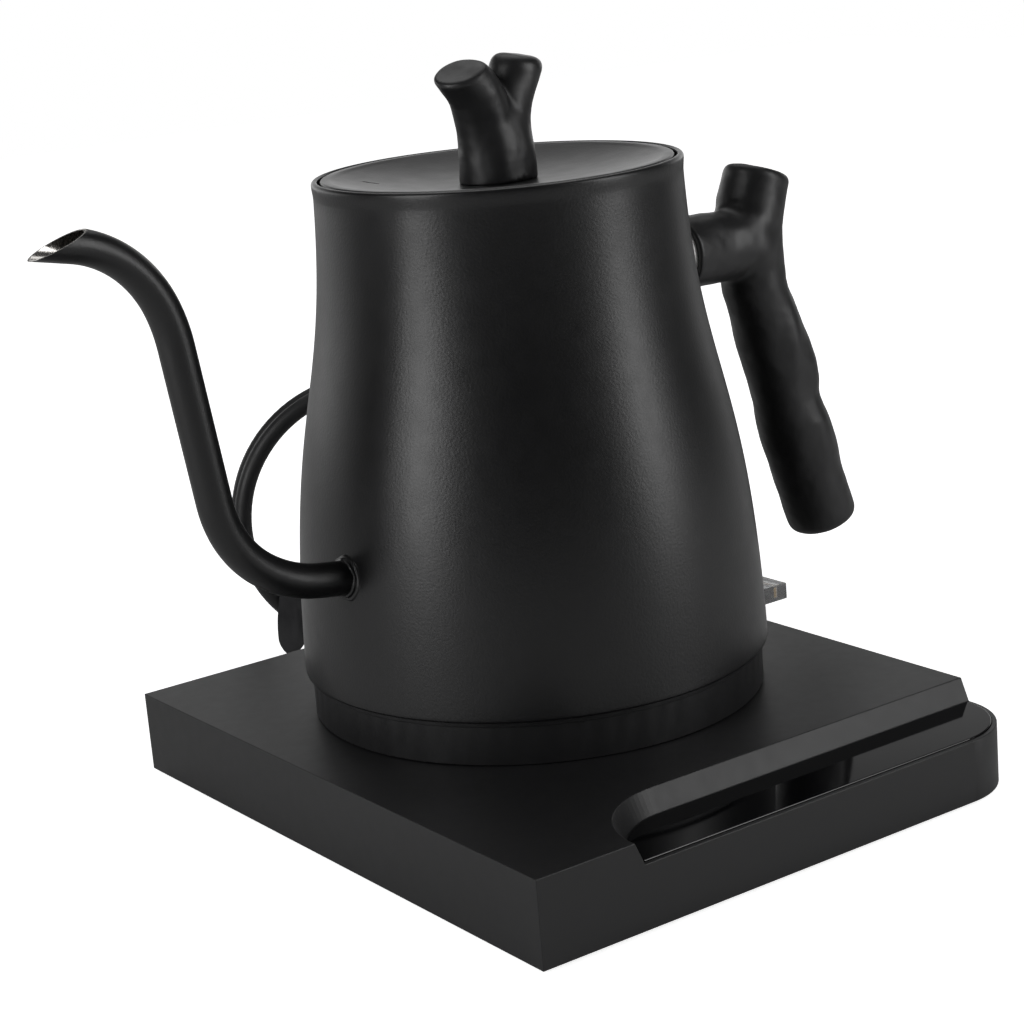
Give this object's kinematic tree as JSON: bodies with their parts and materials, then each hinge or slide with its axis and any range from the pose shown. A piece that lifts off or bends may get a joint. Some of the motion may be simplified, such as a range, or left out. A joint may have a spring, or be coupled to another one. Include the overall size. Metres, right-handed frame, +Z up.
{
  "type": "gooseneck kettle",
  "caption": "Electric gooseneck kettle with a branch-shaped handle and lid knob, lifting off a flat power base with a recessed touch panel.",
  "frame": {"origin": "on the table, under the middle of the box round the kettle and its base, without the free cord", "axes": "+Z up; +X along the touch panel, from the spout to the handle; +Y from the touch panel towards the cord"},
  "size_m": [0.318, 0.2972, 0.2224],
  "materials": {
    "base_plastic": "fine-textured matte black",
    "foot_rubber": "matte rubber",
    "screw_steel": "zinc-plated",
    "touch_gloss": "polished black",
    "circuit_board": "solder mask",
    "transformer_tape": "yellow tape",
    "relay_case": "smooth",
    "inner_plastic": "moulded black",
    "contact_brass": "bright",
    "cord_rubber": "satin cord jacket",
    "tie_strap": "satin film",
    "plug_plastic": "satin moulding",
    "clear_cover": "clear soft plastic",
    "black_coat": "fine powder coat",
    "bare_steel": "satin stainless",
    "element_metal": "dull",
    "branch_black": "soft satin black",
    "seal_silicone": "translucent silicone"
  },
  "bodies": {
    "base": {"base_cover": "base_plastic", "base_bottom": "base_plastic", "base_feet": "foot_rubber", "base_screws": "screw_steel", "touch_glass": "touch_gloss", "touch_board": "circuit_board", "power_board": "circuit_board", "transformer": "transformer_tape", "relay": "relay_case", "buzzer": "inner_plastic", "base_connector": "inner_plastic", "connector_contacts": "contact_brass", "strain_relief": "cord_rubber", "cord_inner": "cord_rubber", "cord_clamp": "inner_plastic", "clamp_screws": "screw_steel", "cord_lead": "cord_rubber", "cord_coil": "cord_rubber", "cord_run": "cord_rubber", "cord_tie": "tie_strap", "plug": "plug_plastic", "plug_pins": "contact_brass", "pin_cover": "clear_cover"},
    "coupler": {"kettle_connector": "inner_plastic", "kettle_contacts": "contact_brass"},
    "kettle": {"kettle_shell": "black_coat", "kettle_floor": "bare_steel", "heating_element": "element_metal", "temperature_probe": "bare_steel", "thermal_cutout": "inner_plastic", "kettle_skirt": "base_plastic", "skirt_screws": "screw_steel", "spout": "black_coat", "spout_collar": "black_coat", "handle_boss": "bare_steel", "handle_spacer": "bare_steel", "handle_bolt": "screw_steel", "handle": "branch_black"},
    "lid": {"lid_plate": "black_coat", "lid_drum": "bare_steel", "lid_seal": "seal_silicone", "lid_knob": "branch_black", "knob_screw": "screw_steel"}
  },
  "joints": [
    {"name": "kettle_lift", "type": "slide", "parent": "base", "child": "coupler", "axis": [0, 0, 1], "range_m": [0, 0.08]},
    {"name": "kettle_spin", "type": "hinge", "parent": "coupler", "child": "kettle", "pos_m": [0.00675, 0.0145, 0.03], "axis": [0, 0, 1], "continuous": true},
    {"name": "lid_lift", "type": "slide", "parent": "kettle", "child": "lid", "axis": [0, 0, 1], "range_m": [0, 0.06]}
  ]
}
